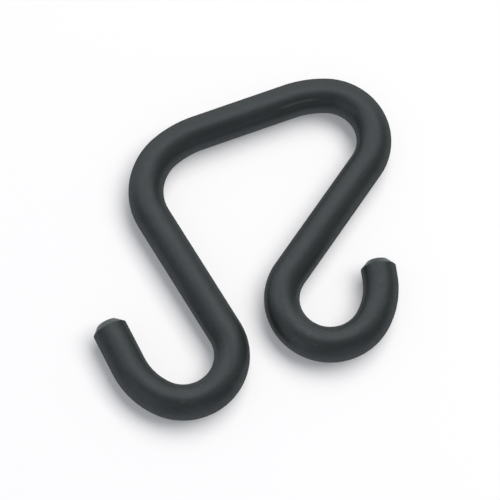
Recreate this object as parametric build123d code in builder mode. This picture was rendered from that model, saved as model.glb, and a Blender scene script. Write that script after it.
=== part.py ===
from build123d import *
import os

# Basket hook: one round coated steel rod, bent in one plane into a top bar, two legs that lean in
# towards each other, and a hook at the foot of each leg that curls outwards and up.
# It lies on Z = 0 with the bar along X and the hooks towards -Y, and the origin is under the middle
# of its footprint. Lengths are millimetres along the middle of the rod, turns are degrees.

# The rod
rod_diameter = 10.0  # over the coating
end_chamfer = 2.0  # at 45 degrees, on both cut ends

# The top bar: straight in the middle, easing into a bend at each end
bar_length = 28.0
bar_ease_radius = 29.0
bar_ease_turn = 21.5

# What both sides share: the leg, the hook, and the flare that opens the hook towards its tip
leg_length = 39.5
hook_radius = 13.5
flare_radius = 20.5
flare_turn = 37.0

# Left side: a wide top bend and an open hook with a long tip
left_bend_radius = 16.5
left_bend_turn = 79.0
left_hook_turn = 147.0
left_tip_length = 14.0

# Right side: a tight top bend that folds the leg back under the bar, and a closer hook with a short tip
right_bend_radius = 14.0
right_bend_turn = 123.0
right_hook_turn = 185.0
right_tip_length = 5.0

rod_radius = rod_diameter / 2
mid_plane = Plane.XY.offset(rod_radius)

# Starting on this heading at the left tip, the bar comes out along X
left_hook_rise = left_hook_turn + flare_turn
bar_fall = left_bend_turn + bar_ease_turn
left_tip_heading = bar_fall - left_hook_rise


def feed(line, *steps):
    """Carries the middle of the rod on from the end of a line, as a bending machine feeds and bends it.

    A step is the length of a straight, or the radius and the turn of a bend, positive to the left.
    """
    for step in steps:
        if isinstance(step, tuple):
            radius, turn = step
            line = JernArc(line @ 1, line % 1, radius, turn)
        else:
            line = PolarLine(line @ 1, step, direction=line % 1)
    return line


def sweep_rod(path, curl):
    """Sweeps the rod's round section along a path that curls to the left (1) or to the right (-1).

    The section begins on the inside of the bends, where the seam of the swept faces is shortest.
    """
    inside = mid_plane.z_dir.cross(path % 0) * curl
    with BuildSketch(Plane(origin=path @ 0, x_dir=inside, z_dir=path % 0)) as section:
        Circle(rod_radius)
    sweep(sections=section.sketch, path=path)


# The rod, drawn from the left tip to the right one: left hook, the legs and the bar, right hook
with BuildPart() as bent_rod:
    with BuildLine(mid_plane) as left_hook:
        left_tip = PolarLine((0, 0), left_tip_length, angle=left_tip_heading)
        left_foot = feed(left_tip, (flare_radius, flare_turn), (hook_radius, left_hook_turn))
    with BuildLine(mid_plane) as legs_and_bar:
        bar_start = feed(left_foot, leg_length, (left_bend_radius, -left_bend_turn))
        bar = feed(bar_start, (bar_ease_radius, -bar_ease_turn), bar_length)
        bar_end = feed(bar, (bar_ease_radius, -bar_ease_turn), (right_bend_radius, -right_bend_turn))
        right_leg = feed(bar_end, leg_length)
    with BuildLine(mid_plane) as right_hook:
        feed(right_leg, (hook_radius, right_hook_turn), (flare_radius, flare_turn), right_tip_length)
    sweep_rod(left_hook.wire(), 1)
    sweep_rod(legs_and_bar.wire(), -1)
    sweep_rod(right_hook.wire(), 1)
    cut_ends = bent_rod.faces().filter_by(GeomType.PLANE)
    chamfer(cut_ends.edges(), length=end_chamfer)

# The same rod, with the middle of its footprint on the origin
footprint = bent_rod.part.bounding_box()
with BuildPart() as hook_rod:
    with Locations((-footprint.center().X, -footprint.center().Y, -footprint.min.Z)):
        add(bent_rod.part)

hook_rod.part.label = "hook_rod"
os.makedirs("parts", exist_ok=True)
export_step(hook_rod.part, "parts/hook_rod.step")
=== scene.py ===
"""Basket hook: the looks of one bent, black-coated steel rod that lies on a pale studio floor.

The rod is swept along the same straights and bends as the solid, in the same frame, so it needs no fitting.
The hook's sizes and the camera's place are millimetres and degrees, as on a workshop drawing.
The sizes of the floor and the lamps are metres and degrees.
"""

import logging
import math
from dataclasses import dataclass, field
from enum import Enum
from typing import Any, Mapping, Sequence, Union

import bpy
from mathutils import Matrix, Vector


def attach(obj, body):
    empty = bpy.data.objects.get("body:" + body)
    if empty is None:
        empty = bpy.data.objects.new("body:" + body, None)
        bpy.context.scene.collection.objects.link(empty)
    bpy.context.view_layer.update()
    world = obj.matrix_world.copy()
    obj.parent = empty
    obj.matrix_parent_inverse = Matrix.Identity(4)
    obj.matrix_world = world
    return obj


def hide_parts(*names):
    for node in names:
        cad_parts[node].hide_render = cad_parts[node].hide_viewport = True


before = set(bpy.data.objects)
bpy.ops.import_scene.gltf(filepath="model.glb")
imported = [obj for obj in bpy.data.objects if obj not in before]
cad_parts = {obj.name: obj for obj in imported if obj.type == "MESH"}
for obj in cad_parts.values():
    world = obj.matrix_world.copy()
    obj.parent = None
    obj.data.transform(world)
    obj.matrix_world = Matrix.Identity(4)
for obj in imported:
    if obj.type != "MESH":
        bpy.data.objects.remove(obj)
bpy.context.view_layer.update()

LOG = logging.getLogger("basket_hook")
METRES_PER_MM = 0.001
# Most of a noise lies between these, on both sides of its middle
NOISE_LOW, NOISE_MIDDLE, NOISE_HIGH = 0.3, 0.5, 0.7
# Degrees round the swept section to the rod's top
SECTION_TOP = -90.0
BEND_SIZES = ("start", "end", "turn")
CREASE_SIZES = ("start", "end", "fade", "height", "half width", "place")
Colour = tuple[float, float, float]
Paint = Union["Term", tuple[float, float, float, float]]
Operand = Union["Term", float, int]


class Turn(Enum):
    """Which way a bend goes, seen from above and travelling from the left tip to the right one."""

    LEFT = 1
    RIGHT = -1


class Job(Enum):
    """What a lamp is there for: its image on shiny surfaces, or light and shadow."""

    SHEEN = "sheen"
    SHADE = "shade"


class Ease(Enum):
    """How a value goes from one end of a stretch to the other: evenly, or leaving and arriving gently."""

    EVEN = "LINEAR"
    GENTLE = "SMOOTHSTEP"


class Detail(Enum):
    """How many finer layers a noise has."""

    SMOOTH = 0.0
    SOFT = 1.0
    FINE = 2.0


class Mark(Enum):
    """A value that the sweep leaves on the rod for its creases and coating."""

    ALONG = ("along", "FLOAT")
    AROUND = ("around", "FLOAT_VECTOR")
    CUT = ("cut", "FLOAT")

    def __init__(self, label: str, kind: str) -> None:
        """Keeps the attribute's name and its type."""
        self.label = label
        self.kind = kind


def metres(length: float) -> float:
    """Turns millimetres into Blender's unit."""
    return length * METRES_PER_MM


def opaque(colour: Colour) -> tuple[float, float, float, float]:
    """Gives a colour the full alpha that a colour socket asks for."""
    return (*colour, 1.0)


def stand(azimuth: float, elevation: float, distance: float) -> Vector:
    """Gives the place from which the middle of the floor is seen at an angle.

    Args:
        azimuth: Degrees round the object. 0 stands on the -Y side, 90 on the +X side.
        elevation: Degrees above the floor.
        distance: How far away, in any unit.

    Returns:
        The place, in that unit.
    """
    around, above = math.radians(azimuth), math.radians(elevation)
    level = math.cos(above)
    return Vector((math.sin(around) * level, -math.cos(around) * level, math.sin(above))) * distance


class Term:
    """A node's output that takes part in Python arithmetic. Each operation adds a Math node."""

    def __init__(self, graph: "Graph", node: bpy.types.Node, output: bpy.types.NodeSocket | None) -> None:
        """Keeps what later nodes need.

        Args:
            graph: The graph that new nodes go to.
            node: The node.
            output: Its output, where it has one.
        """
        self.graph = graph
        self.node = node
        self.output = output

    def __getitem__(self, name: str) -> "Term":
        """Gives another output of the same node by its name."""
        return Term(self.graph, self.node, self.graph.socket(self.node.outputs, name))

    def math(self, operation: str, *operands: Operand, first: Operand | None = None) -> "Term":
        """Adds a Math node.

        Args:
            operation: Blender's name of the operation.
            operands: What follows the first operand.
            first: The first operand, where it isn't this term.

        Returns:
            The result.
        """
        values = [self if first is None else first, *operands]
        return self.graph.node("ShaderNodeMath", {"operation": operation}, dict(enumerate(values)))

    def __add__(self, other: Operand) -> "Term":
        """Adds."""
        return self.math("ADD", other)

    __radd__ = __add__

    def __sub__(self, other: Operand) -> "Term":
        """Takes the other away."""
        return self.math("SUBTRACT", other)

    def __rsub__(self, other: Operand) -> "Term":
        """Is taken away from the other."""
        return self.math("SUBTRACT", self, first=other)

    def __mul__(self, other: Operand) -> "Term":
        """Multiplies."""
        return self.math("MULTIPLY", other)

    __rmul__ = __mul__

    def __truediv__(self, other: Operand) -> "Term":
        """Divides by the other."""
        return self.math("DIVIDE", other)

    def __rtruediv__(self, other: Operand) -> "Term":
        """Divides the other."""
        return self.math("DIVIDE", self, first=other)

    def least(self, other: Operand) -> "Term":
        """Gives the smaller of the two."""
        return self.math("MINIMUM", other)

    def span(
        self, low: Operand, high: Operand, start: Operand = 0.0, end: Operand = 1.0, ease: Ease = Ease.EVEN
    ) -> "Term":
        """Maps a stretch of values to another one and holds the ends.

        Args:
            low: Where the stretch begins.
            high: Where it ends.
            start: What the beginning becomes, and all below it.
            end: What the end becomes, and all above it.
            ease: How it goes from one end to the other.

        Returns:
            The mapped value.
        """
        values = {"Value": self, "From Min": low, "From Max": high, "To Min": start, "To Max": end}
        settings = {"interpolation_type": ease.value, "clamp": True}
        return self.graph.node("ShaderNodeMapRange", settings, values)


class Graph:
    """A node tree that is written node by node."""

    def __init__(self, tree: bpy.types.NodeTree) -> None:
        """Starts from an empty tree."""
        self.tree = tree
        tree.nodes.clear()

    @staticmethod
    def socket(sockets: Sequence[bpy.types.NodeSocket], name: str | int) -> bpy.types.NodeSocket:
        """Finds a socket.

        Args:
            sockets: A node's inputs or outputs.
            name: Its name, or its number where names repeat.

        Returns:
            The socket in use with that name or number.
        """
        if isinstance(name, int):
            return sockets[name]
        return next(socket for socket in sockets if socket.enabled and socket.name == name)

    def node(
        self,
        kind: str,
        settings: Mapping[str, Any] | None = None,
        values: Mapping[str | int, Any] | None = None,
    ) -> Term:
        """Makes a node.

        Args:
            kind: Blender's name of the node's type.
            settings: Properties of the node, set before its sockets.
            values: A value or a term for each input that isn't left alone.

        Returns:
            The node's first output in use.
        """
        node = self.tree.nodes.new(kind)
        for name, setting in (settings or {}).items():
            setattr(node, name, setting)
        for name, value in (values or {}).items():
            target = self.socket(node.inputs, name)
            if isinstance(value, Term):
                self.tree.links.new(value.output, target)
            else:
                target.default_value = value
        outputs = [output for output in node.outputs if output.enabled]
        return Term(self, node, outputs[0] if outputs else None)

    def blend(self, factor: Term, first: Paint, second: Paint) -> Term:
        """Mixes two colours.

        Args:
            factor: How much of the second one shows, from 0 to 1.
            first: The colour at 0.
            second: The colour at 1.

        Returns:
            The mixed colour.
        """
        values = {"Factor": factor, "A": first, "B": second}
        return self.node("ShaderNodeMix", {"data_type": "RGBA"}, values)

    def scaled(self, vector: Term, factor: Operand) -> Term:
        """Makes a vector longer or shorter, or a colour lighter or darker."""
        return self.node("ShaderNodeVectorMath", {"operation": "SCALE"}, {"Vector": vector, "Scale": factor})


@dataclass(frozen=True)
class Straight:
    """A straight stretch of the rod."""

    length: float


@dataclass(frozen=True)
class Bend:
    """A bend of the rod, with the radius of its middle line."""

    name: str
    radius: float
    degrees: float
    turn: Turn

    @property
    def length(self) -> float:
        """The length along the middle line."""
        return self.radius * math.radians(self.degrees)

    def sizes(self, start: float) -> dict[str, float]:
        """Works out the sweep's inputs for the bend.

        Args:
            start: How far along the rod it begins.

        Returns:
            A value for each named input.
        """
        return {
            f"{self.name} start": metres(start),
            f"{self.name} end": metres(start + self.length),
            f"{self.name} turn": math.radians(self.degrees * self.turn.value),
        }


Run = Union[Straight, Bend]


@dataclass(frozen=True)
class Crease:
    """A faint raised line along the rod, where two halves of the bending tool met.

    Angles go round the section from the top, positive to the right-hand side of travel.
    """

    name: str
    start: float
    length: float
    fade: float
    height: float
    half_width: float
    from_top: float

    def sizes(self) -> dict[str, float]:
        """Works out the sweep's inputs for the crease.

        Returns:
            A value for each named input.
        """
        return {
            f"{self.name} start": metres(self.start),
            f"{self.name} end": metres(self.start + self.length),
            f"{self.name} fade": metres(self.fade),
            f"{self.name} height": metres(self.height),
            f"{self.name} half width": math.radians(self.half_width),
            f"{self.name} place": math.radians(SECTION_TOP + self.from_top),
        }


@dataclass(frozen=True)
class SatinCoating:
    """The satin black coating: fine grain, slight peel, drawn streaks, and a few specks and scuffs.

    A swing is how far a value goes to both sides of its middle, an edge how far above its middle a noise
    takes full effect, and a share how strongly the worn colour shows.
    """

    # The plain coating, the cut ends with a painted highlight, worn spots, and the light that the surface
    # mirrors
    colour: Colour = (0.0125, 0.0154, 0.0145)
    # Lighter colour on the chamfered cut ends: a painted highlight
    cut_highlight_colour: Colour = (0.0265, 0.032, 0.033)
    worn_colour: Colour = (0.088, 0.095, 0.096)
    sheen_colour: Colour = (0.874, 0.93, 0.988)
    specular_level: float = 0.563
    roughness: float = 0.42
    roughness_swing: float = 0.05
    # How late the gloss gives way towards grazing angles, and the part of the chamfer where the cut sets in
    graze_power: float = 1.5
    cut_fade: float = 0.1
    # Unevenness, from fine to wide
    grain_size: float = 0.32
    grain_height: float = 0.016
    grain_swing: float = 0.24
    peel_size: float = 1.4
    peel_height: float = 0.012
    wave_size: float = 9.0
    wave_height: float = 0.06
    # Soft clouds, and faint streaks that run with the rod
    cloud_size: float = 14.0
    cloud_swing: float = 0.08
    streak_length: float = 22.0
    streak_width: float = 0.9
    streak_swing: float = 0.04
    # Light specks, and short scuffs in patches
    speck_gap: float = 2.1
    speck_radius: float = 0.16
    speck_share: float = 0.9
    scuff_patch: float = 9.0
    scuff_patch_edge: float = 0.1
    scuff_length: float = 1.3
    scuff_width: float = 0.32
    scuff_edge: float = 0.25
    scuff_share: float = 0.2
    # Where along Y the feet of the hooks begin to rub and rub fully, and what share of that is elsewhere
    rub_from: float = -12.0
    rub_to: float = -34.0
    rub_elsewhere: float = 0.12

    def material(self) -> bpy.types.Material:
        """Writes the coating's nodes.

        Returns:
            The finished material.
        """
        material = bpy.data.materials.new("satin_black_coating")
        material.use_nodes = True
        graph = Graph(material.node_tree)
        place = graph.node("ShaderNodeTexCoord")["Object"]
        rolled = self.rolled(graph)
        cut = self.stored(graph, Mark.CUT)["Fac"].span(0.0, self.cut_fade)
        grain = self.noise(place, self.grain_size, Detail.FINE)
        peel = self.noise(place, self.peel_size, Detail.SOFT)
        # The cut ends take the lighter colour, a painted highlight on the chamfers
        plain = graph.blend(cut, opaque(self.colour), opaque(self.cut_highlight_colour))
        toned = graph.scaled(plain, self.tone(place, rolled, grain))
        base = graph.blend(self.worn(place, rolled), toned, opaque(self.worn_colour))
        relief = self.relief(place, grain, peel)
        bump = graph.node("ShaderNodeBump", values={"Strength": 1.0, "Distance": 1.0, "Height": relief})
        gloss = {
            "Base Color": base,
            "Roughness": self.swing(peel, self.roughness_swing) + self.roughness,
            "Normal": bump,
            "Specular IOR Level": self.specular_level,
            "Specular Tint": opaque(self.sheen_colour),
        }
        satin = graph.node("ShaderNodeBsdfPrincipled", values=gloss)
        matt = graph.node("ShaderNodeBsdfDiffuse", values={"Color": base, "Normal": bump})
        graze = graph.node("ShaderNodeLayerWeight")["Facing"].math("POWER", self.graze_power)
        surface = graph.node("ShaderNodeMixShader", values={0: graze * (1 - cut), 1: satin, 2: matt})
        graph.node("ShaderNodeOutputMaterial", values={"Surface": surface})
        return material

    def relief(self, place: Term, grain: Term, peel: Term) -> Term:
        """Adds up the coating's unevenness.

        Args:
            place: Object coordinates.
            grain: The noise of the fine grain.
            peel: The noise of the slight peel.

        Returns:
            Its height in metres.
        """
        wave = self.noise(place, self.wave_size, Detail.SMOOTH) * metres(self.wave_height)
        return grain * metres(self.grain_height) + peel * metres(self.peel_height) + wave

    def tone(self, place: Term, rolled: Term, grain: Term) -> Term:
        """Varies the colour with the grain, in soft clouds, and in faint streaks that run with the rod.

        Args:
            place: Object coordinates.
            rolled: Coordinates of the rod as if it were straight.
            grain: The noise of the fine grain.

        Returns:
            How light the coating is, with 1 for the plain colour.
        """
        cloud = self.swing(self.noise(place, self.cloud_size, Detail.FINE), self.cloud_swing)
        drawn = self.drawn(rolled, self.streak_width / self.streak_length)
        streak = self.swing(self.noise(drawn, self.streak_width, Detail.SOFT), self.streak_swing)
        return 1 + self.swing(grain, self.grain_swing) + cloud + streak

    def worn(self, place: Term, rolled: Term) -> Term:
        """Scatters light specks and patches of short scuffs, most of them where the feet of the hooks rub.

        Args:
            place: Object coordinates.
            rolled: Coordinates of the rod as if it were straight.

        Returns:
            How much the worn colour shows, from 0 to 1.
        """
        graph = place.graph
        scatter = {"Vector": place, "Scale": 1.0 / metres(self.speck_gap)}
        cells = graph.node("ShaderNodeTexVoronoi", values=scatter)
        radius = self.speck_radius / self.speck_gap
        specks = cells["Distance"].span(radius / 2, radius, self.speck_share, 0.0)
        patches = self.noise(place, self.scuff_patch, Detail.SOFT)
        patches = patches.span(NOISE_MIDDLE, NOISE_MIDDLE + self.scuff_patch_edge)
        drawn = self.drawn(rolled, self.scuff_width / self.scuff_length)
        scuffs = self.noise(drawn, self.scuff_width, Detail.SOFT)
        scuffs = scuffs.span(NOISE_MIDDLE, NOISE_MIDDLE + self.scuff_edge, 0.0, self.scuff_share)
        depth = graph.node("ShaderNodeSeparateXYZ", values={"Vector": place})["Y"]
        rubbed = depth.span(metres(self.rub_to), metres(self.rub_from), 1.0, self.rub_elsewhere)
        return ((specks + scuffs * patches) * rubbed).least(1.0)

    @staticmethod
    def stored(graph: Graph, mark: Mark) -> Term:
        """Reads a value that the sweep left on the rod."""
        return graph.node("ShaderNodeAttribute", {"attribute_name": mark.label})

    def rolled(self, graph: Graph) -> Term:
        """Lays the rod out straight, for patterns that run with it.

        Args:
            graph: The coating's nodes.

        Returns:
            The place along the rod, and the two places across its section.
        """
        around = self.stored(graph, Mark.AROUND)["Vector"]
        across = graph.node("ShaderNodeSeparateXYZ", values={"Vector": around})
        places = {"X": self.stored(graph, Mark.ALONG)["Fac"], "Y": across["X"], "Z": across["Y"]}
        return graph.node("ShaderNodeCombineXYZ", values=places)

    @staticmethod
    def drawn(rolled: Term, ratio: float) -> Term:
        """Stretches a pattern along the rod.

        Args:
            rolled: Coordinates of the rod as if it were straight.
            ratio: The pattern's width, as a share of its length.

        Returns:
            The coordinates for it.
        """
        values = {"Vector": rolled, "Scale": (ratio, 1.0, 1.0)}
        return rolled.graph.node("ShaderNodeMapping", values=values)

    @staticmethod
    def noise(place: Term, size: float, detail: Detail) -> Term:
        """Makes noise of a size.

        Args:
            place: The coordinates, in metres.
            size: How large its patches are, in millimetres.
            detail: How many finer layers it has.

        Returns:
            The noise.
        """
        values = {"Vector": place, "Scale": 1.0 / metres(size), "Detail": detail.value}
        return place.graph.node("ShaderNodeTexNoise", values=values)

    @staticmethod
    def swing(noise: Term, amount: float) -> Term:
        """Makes noise go an amount to both sides of nothing."""
        return noise.span(NOISE_LOW, NOISE_HIGH, -amount, amount)


class RodSweep:
    """The node tree that lays out the rod's middle line and sweeps the round section along it.

    The heading at any place along the rod is the sum of the bends up to there, and the line is the sum of
    short steps on those headings, as when the rod is fed through a bending machine.
    """

    def __init__(self, bends: list[str], creases: list[str]) -> None:
        """Writes the tree.

        Args:
            bends: The bends' names, in the order of travel.
            creases: The creases' names.
        """
        self.bends = bends
        self.creases = creases
        self.tree = bpy.data.node_groups.new("rod_sweep", "GeometryNodeTree")
        self.graph = Graph(self.tree)
        self.identifiers: dict[str, str] = {}
        for name in ("Rod length", "Rod radius", "Chamfer", "First heading"):
            self.add_input(name, "NodeSocketFloat")
        for name in ("Rings", "Sides"):
            self.add_input(name, "NodeSocketInt")
        for names, sizes in ((bends, BEND_SIZES), (creases, CREASE_SIZES)):
            for name in names:
                for size in sizes:
                    self.add_input(f"{name} {size}", "NodeSocketFloat")
        self.add_input("Coating", "NodeSocketMaterial")
        self.tree.interface.new_socket("Rod", in_out="OUTPUT", socket_type="NodeSocketGeometry")
        self.inputs = self.graph.node("NodeGroupInput")
        self.write()

    def add_input(self, name: str, kind: str) -> None:
        """Adds a named input and keeps its identifier."""
        socket = self.tree.interface.new_socket(name, in_out="INPUT", socket_type=kind)
        self.identifiers[name] = socket.identifier

    def along(self, ring: Term) -> Term:
        """Gives how far along the rod a ring of the mesh is, with one ring on each edge of the chamfers.

        Args:
            ring: The ring's number.

        Returns:
            Metres from the left tip.
        """
        chamfer, last = self.inputs["Chamfer"], self.inputs["Rings"] - 1
        shaft = self.inputs["Rod length"] - chamfer * 2
        near_tip = ring.span(0, 1, 0, chamfer)
        far_tip = ring.span(last - 1, last, 0, chamfer)
        return near_tip + ring.span(1, last - 1, 0, shaft) + far_tip

    def heading(self, along: Term) -> Term:
        """Gives the middle line's heading.

        Args:
            along: Metres from the left tip.

        Returns:
            Radians from +X.
        """
        heading = self.inputs["First heading"]
        for bend in self.bends:
            start, end, turn = (self.inputs[f"{bend} {size}"] for size in BEND_SIZES)
            heading = heading + along.span(start, end, 0, turn)
        return heading

    def middle_line(self, here: Term, there: Term) -> Term:
        """Lays out the rod's middle line.

        Args:
            here: How far along each ring is.
            there: How far along the ring after it is.

        Returns:
            The line, with the places along it stored on its points.
        """
        heading = self.heading((here + there) / 2)
        step = there - here
        stride = {"X": heading.math("COSINE") * step, "Y": heading.math("SINE") * step}
        strides = {"Value": self.graph.node("ShaderNodeCombineXYZ", values=stride)}
        summing = {"data_type": "FLOAT_VECTOR", "domain": "POINT"}
        walk = self.graph.node("GeometryNodeAccumulateField", summing, strides)["Trailing"]
        rings = {"Curve": self.graph.node("GeometryNodeCurvePrimitiveLine"), "Count": self.inputs["Rings"]}
        line = self.graph.node("GeometryNodeResampleCurve", {"mode": "COUNT"}, rings)
        line = self.graph.node("GeometryNodeSetPosition", values={"Geometry": line, "Position": walk})
        return self.store(line, Mark.ALONG, here)

    def section(self) -> Term:
        """Draws the rod's round section.

        Returns:
            The circle, with the places round it stored on its points.
        """
        sizes = {"Resolution": self.inputs["Sides"], "Radius": self.inputs["Rod radius"]}
        circle = self.graph.node("GeometryNodeCurvePrimitiveCircle", values=sizes)
        return self.store(circle, Mark.AROUND, self.graph.node("GeometryNodeInputPosition"))

    def store(self, curve: Term, mark: Mark, value: Term) -> Term:
        """Stores a value on the points of a curve.

        Args:
            curve: The curve.
            mark: What the value is.
            value: The value.

        Returns:
            The curve with it.
        """
        settings = {"data_type": mark.kind, "domain": "POINT"}
        values = {"Geometry": curve, "Name": mark.label, "Value": value}
        return self.graph.node("GeometryNodeStoreNamedAttribute", settings, values)

    def stored(self, mark: Mark) -> Term:
        """Reads a stored value back."""
        settings = {"data_type": mark.kind}
        return self.graph.node("GeometryNodeInputNamedAttribute", settings, {"Name": mark.label})

    def crease(self, name: str, along: Term, around: Term) -> Term:
        """Draws one crease.

        Args:
            name: The crease's name.
            along: Metres from the left tip.
            around: Radians round the section.

        Returns:
            How far it stands out of the round rod.
        """
        sizes = (self.inputs[f"{name} {size}"] for size in CREASE_SIZES)
        start, end, fade, height, half_width, place = sizes
        aside = (around - place).math("ABSOLUTE")
        ridge = aside.span(0, half_width, height, 0, Ease.GENTLE)
        rise = along.span(start, start + fade, ease=Ease.GENTLE)
        fall = along.span(end - fade, end, 1, 0, Ease.GENTLE)
        return ridge * rise * fall

    def creased(self, rod: Term) -> Term:
        """Raises the creases out of the rod's side.

        Args:
            rod: The round rod.

        Returns:
            The rod with its creases.
        """
        along = self.stored(Mark.ALONG)
        across = self.graph.node("ShaderNodeSeparateXYZ", values={"Vector": self.stored(Mark.AROUND)})
        around = across["Y"].math("ARCTAN2", across["X"])
        height = sum(self.crease(name, along, around) for name in self.creases)
        offset = self.graph.scaled(self.graph.node("GeometryNodeInputNormal"), height)
        return self.graph.node("GeometryNodeSetPosition", values={"Geometry": rod, "Offset": offset})

    def placed(self, rod: Term) -> Term:
        """Moves the rod so that it lies on the floor, with the middle of its footprint on the origin.

        Args:
            rod: The rod, with its middle line at the floor's height.

        Returns:
            The rod in its place.
        """
        graph = self.graph
        box = graph.node("GeometryNodeBoundBox", values={"Geometry": rod})
        corners = graph.node("ShaderNodeVectorMath", {"operation": "ADD"}, {0: box["Min"], 1: box["Max"]})
        rest = graph.node("ShaderNodeCombineXYZ", values={"Z": self.inputs["Rod radius"]})
        shift = {0: rest, 1: graph.scaled(corners, 0.5)}
        offset = graph.node("ShaderNodeVectorMath", {"operation": "SUBTRACT"}, shift)
        return graph.node("GeometryNodeSetPosition", values={"Geometry": rod, "Offset": offset})

    def write(self) -> None:
        """Writes the tree from the rings' places to the coated rod."""
        graph, radius, chamfer = self.graph, self.inputs["Rod radius"], self.inputs["Chamfer"]
        ring = graph.node("GeometryNodeInputIndex")
        here, there = self.along(ring), self.along(ring + 1)
        from_tip = here.least(self.inputs["Rod length"] - here).least(chamfer)
        swept = {
            "Curve": self.store(self.middle_line(here, there), Mark.CUT, 1 - from_tip / chamfer),
            "Profile Curve": self.section(),
            "Scale": (radius - chamfer + from_tip) / radius,
            "Fill Caps": True,
        }
        rod = self.placed(graph.node("GeometryNodeCurveToMesh", values=swept))
        rod = graph.node("GeometryNodeSetShadeSmooth", values={"Geometry": self.creased(rod)})
        rod = graph.node("GeometryNodeRealizeInstances", values={"Geometry": rod})
        coated = {"Geometry": rod, "Material": self.inputs["Coating"]}
        rod = graph.node("GeometryNodeSetMaterial", values=coated)
        graph.node("NodeGroupOutput", values={"Rod": rod})


@dataclass
class HookRod:
    """The one piece of the hook: a round rod bent in one plane, with both cut ends chamfered."""

    rod_diameter: float = 10.0
    end_chamfer: float = 2.0
    # The top bar, and the bends that ease into it
    bar_length: float = 28.0
    bar_ease_radius: float = 29.0
    bar_ease_turn: float = 21.5
    # What both sides share: the leg, the hook, and the flare that opens the hook
    leg_length: float = 39.5
    hook_radius: float = 13.5
    flare_radius: float = 20.5
    flare_turn: float = 37.0
    # The left side: a wide top bend and an open hook with a long tip
    left_bend_radius: float = 16.5
    left_bend_turn: float = 79.0
    left_hook_turn: float = 147.0
    left_tip_length: float = 14.0
    # The right side: a tight top bend and a closer hook with a short tip
    right_bend_radius: float = 14.0
    right_bend_turn: float = 123.0
    right_hook_turn: float = 185.0
    right_tip_length: float = 5.0
    # The broken corners of the cut ends, on edges sharper than the limit
    corner_width: float = 0.07
    corner_segments: int = 3
    corner_limit: float = 40.0
    # The mesh: how far apart its rings are, and how many sides each has
    ring_gap: float = 0.6
    ring_sides: int = 144
    # Marks of the bending tool
    creases: tuple[Crease, ...] = (
        Crease("Leg crease", start=54.0, length=42.0, fade=9.0, height=0.1, half_width=3.75, from_top=-47.5),
        Crease("Bar crease", start=156.2, length=17.8, fade=5.0, height=0.27, half_width=8.5, from_top=38.5),
    )

    def runs(self) -> list[Run]:
        """Lists the straights and bends.

        Returns:
            All of them, from the left tip to the right one.
        """
        return [
            Straight(self.left_tip_length),
            Bend("Left flare", self.flare_radius, self.flare_turn, Turn.LEFT),
            Bend("Left hook", self.hook_radius, self.left_hook_turn, Turn.LEFT),
            Straight(self.leg_length),
            Bend("Left bend", self.left_bend_radius, self.left_bend_turn, Turn.RIGHT),
            Bend("Left ease", self.bar_ease_radius, self.bar_ease_turn, Turn.RIGHT),
            Straight(self.bar_length),
            Bend("Right ease", self.bar_ease_radius, self.bar_ease_turn, Turn.RIGHT),
            Bend("Right bend", self.right_bend_radius, self.right_bend_turn, Turn.RIGHT),
            Straight(self.leg_length),
            Bend("Right hook", self.hook_radius, self.right_hook_turn, Turn.LEFT),
            Bend("Right flare", self.flare_radius, self.flare_turn, Turn.LEFT),
            Straight(self.right_tip_length),
        ]

    def sizes(self) -> dict[str, float | int]:
        """Works out the sweep's inputs, with the first heading such that the bar lies along X.

        Returns:
            A value for each named input.
        """
        length, values = 0.0, {}
        for run in self.runs():
            if isinstance(run, Bend):
                values.update(run.sizes(length))
            length += run.length
        for crease in self.creases:
            values.update(crease.sizes())
        bar_fall = self.left_bend_turn + self.bar_ease_turn
        values["First heading"] = math.radians(bar_fall - self.left_hook_turn - self.flare_turn)
        values["Rod length"] = metres(length)
        values["Rod radius"] = metres(self.rod_diameter / 2)
        values["Chamfer"] = metres(self.end_chamfer)
        values["Rings"] = round(length / self.ring_gap)
        values["Sides"] = self.ring_sides
        return values

    def build(self, coating: bpy.types.Material) -> bpy.types.Object:
        """Sweeps the rod, breaks the corners of its ends and settles it as a plain mesh.

        Args:
            coating: The material.

        Returns:
            The piece, in its place.
        """
        piece = bpy.data.objects.new("coated_rod", bpy.data.meshes.new("coated_rod"))
        bpy.context.scene.collection.objects.link(piece)
        bends = [run.name for run in self.runs() if isinstance(run, Bend)]
        sweep = RodSweep(bends, [crease.name for crease in self.creases])
        swept = piece.modifiers.new("sweep", "NODES")
        swept.node_group = sweep.tree
        for name, value in {**self.sizes(), "Coating": coating}.items():
            swept[sweep.identifiers[name]] = value
        corners = piece.modifiers.new("corners", "BEVEL")
        corners.limit_method = "ANGLE"
        corners.angle_limit = math.radians(self.corner_limit)
        corners.width = metres(self.corner_width)
        corners.segments = self.corner_segments
        piece.modifiers.new("even_shading", "WEIGHTED_NORMAL")
        settled = piece.evaluated_get(bpy.context.evaluated_depsgraph_get())
        mesh = bpy.data.meshes.new_from_object(settled)
        piece.modifiers.clear()
        piece.data = mesh
        return piece

    def dress(self, finish: SatinCoating) -> bpy.types.Object:
        """Builds the coated rod and says what it stands for.

        Args:
            finish: The coating.

        Returns:
            The piece.
        """
        piece = self.build(finish.material())
        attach(piece, "root")
        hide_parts("hook_rod")
        return piece


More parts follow.
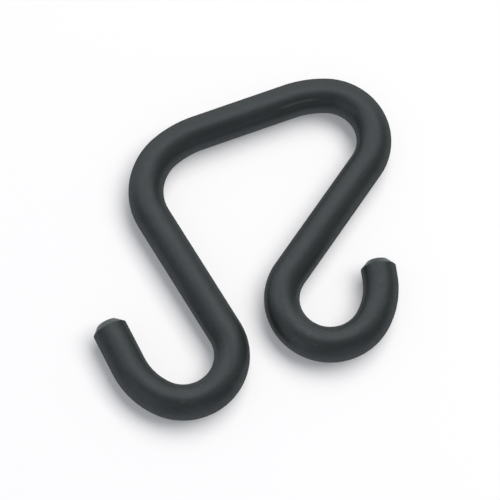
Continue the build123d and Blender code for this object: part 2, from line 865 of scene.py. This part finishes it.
@dataclass(frozen=True)
class Lamp:
    """A flat soft lamp that faces the object. Its radiance is how bright its face is, whatever its size."""

    name: str
    azimuth: float
    elevation: float
    width: float
    height: float
    radiance: float
    distance: float = 1.3
    colour: Colour = (1.0, 1.0, 1.0)
    job: Job = Job.SHEEN

    def build(self) -> bpy.types.Object:
        """Makes the lamp.

        Returns:
            The lamp's object.
        """
        light = bpy.data.lights.new(self.name, "AREA")
        light.shape = "RECTANGLE"
        light.size, light.size_y = self.width, self.height
        light.energy = self.radiance * math.pi * self.width * self.height
        light.color = self.colour
        lamp = bpy.data.objects.new(self.name, light)
        lamp.location = stand(self.azimuth, self.elevation, self.distance)
        lamp.rotation_mode = "QUATERNION"
        lamp.rotation_quaternion = lamp.location.to_track_quat("Z", "Y")
        lamp.visible_glossy = self.job is Job.SHEEN
        lamp.visible_diffuse = self.job is Job.SHADE
        bpy.context.scene.collection.objects.link(lamp)
        return lamp


@dataclass(frozen=True)
class Floor:
    """The pale floor that the hook lies on.

    The camera sees it lifted towards white, and shiny surfaces mirror it as plain white.
    """

    size: float = 12.0
    colour: Colour = (0.88, 0.88, 0.88)
    white: Colour = (0.955, 0.972, 1.0)
    mirrored_white: Colour = (0.92, 0.97, 1.0)
    lift: float = 0.215

    def build(self) -> bpy.types.Object:
        """Makes the floor.

        Returns:
            The floor's object.
        """
        half = self.size / 2
        corners = [(-half, -half, 0.0), (half, -half, 0.0), (half, half, 0.0), (-half, half, 0.0)]
        mesh = bpy.data.meshes.new("floor")
        mesh.from_pydata(corners, [], [(0, 1, 2, 3)])
        mesh.materials.append(self.material())
        floor = bpy.data.objects.new("floor", mesh)
        bpy.context.scene.collection.objects.link(floor)
        return floor

    def material(self) -> bpy.types.Material:
        """Writes the floor's plain matt finish.

        Returns:
            The material.
        """
        material = bpy.data.materials.new("pale_floor")
        material.use_nodes = True
        graph = Graph(material.node_tree)
        path = graph.node("ShaderNodeLightPath")
        camera = path["Is Camera Ray"]
        seen = camera * self.lift + path["Is Glossy Ray"] + path["Is Transmission Ray"]
        white = graph.blend(camera, opaque(self.mirrored_white), opaque(self.white))
        glow = graph.node("ShaderNodeEmission", values={"Color": white, "Strength": 1.0})
        matt = graph.node("ShaderNodeBsdfDiffuse", values={"Color": opaque(self.colour)})
        surface = graph.node("ShaderNodeMixShader", values={0: seen.least(1.0), 1: matt, 2: glow})
        graph.node("ShaderNodeOutputMaterial", values={"Surface": surface})
        return material


@dataclass(frozen=True)
class Camera:
    """The camera that took the picture, level and well above the hook. Its lens is in pixels of the frame."""

    azimuth: float = -20.56
    elevation: float = 70.0
    distance: float = 658.23
    target: tuple[float, float, float] = (-0.56, -1.252, 5.0)
    focal_pixels: float = 2327.83
    frame_pixels: float = 500.0
    nearest: float = 10.0
    farthest: float = 100000.0

    def build(self) -> bpy.types.Object:
        """Makes the scene's camera.

        Returns:
            The camera's object.
        """
        lens = bpy.data.cameras.new("camera")
        lens.lens = lens.sensor_width * self.focal_pixels / self.frame_pixels
        lens.clip_start, lens.clip_end = metres(self.nearest), metres(self.farthest)
        camera = bpy.data.objects.new("camera", lens)
        back = stand(self.azimuth, self.elevation, 1.0)
        camera.location = (Vector(self.target) + back * self.distance) * METRES_PER_MM
        camera.rotation_mode = "QUATERNION"
        camera.rotation_quaternion = (-back).to_track_quat("-Z", "Y")
        bpy.context.scene.collection.objects.link(camera)
        bpy.context.scene.camera = camera
        return camera


@dataclass
class Studio:
    """The floor, the soft light and the camera."""

    room_colour: Colour = (0.94, 0.985, 1.12)
    room_level: float = 0.26
    floor: Floor = field(default_factory=Floor)
    camera: Camera = field(default_factory=Camera)
    lamps: tuple[Lamp, ...] = (
        Lamp("back_card", azimuth=176.0, elevation=20.0, width=5.0, height=1.08, radiance=1.07),
        Lamp("high_card", azimuth=170.0, elevation=62.0, width=2.6, height=0.9, radiance=1.52),
        Lamp("side_card", azimuth=292.0, elevation=22.0, width=0.9, height=1.4, radiance=0.8),
        Lamp("front_card", azimuth=0.0, elevation=20.0, width=1.1, height=0.5, radiance=0.57),
        Lamp(
            "key",
            azimuth=109.0,
            elevation=62.0,
            width=4.8,
            height=2.4,
            radiance=5.4,
            distance=3.9,
            colour=(1.022, 1.0, 0.975),
            job=Job.SHADE,
        ),
    )

    def build(self) -> None:
        """Sets up the room, the floor, the camera and the lamps."""
        scene = bpy.context.scene
        scene.view_settings.view_transform = "Standard"
        scene.world = bpy.data.worlds.new("room")
        scene.world.use_nodes = True
        graph = Graph(scene.world.node_tree)
        light = {"Color": opaque(self.room_colour), "Strength": self.room_level}
        room = graph.node("ShaderNodeBackground", values=light)
        graph.node("ShaderNodeOutputWorld", values={"Surface": room})
        for stage in (self.floor, self.camera, *self.lamps):
            LOG.info("stage: %s", stage.build().name)


def main() -> None:
    """Builds the hook and the studio round it."""
    logging.basicConfig(level=logging.INFO, format="%(name)s: %(message)s")
    piece = HookRod().dress(SatinCoating())
    LOG.info("%s: %d faces", piece.name, len(piece.data.polygons))
    Studio().build()


if __name__ == "__main__":
    main()
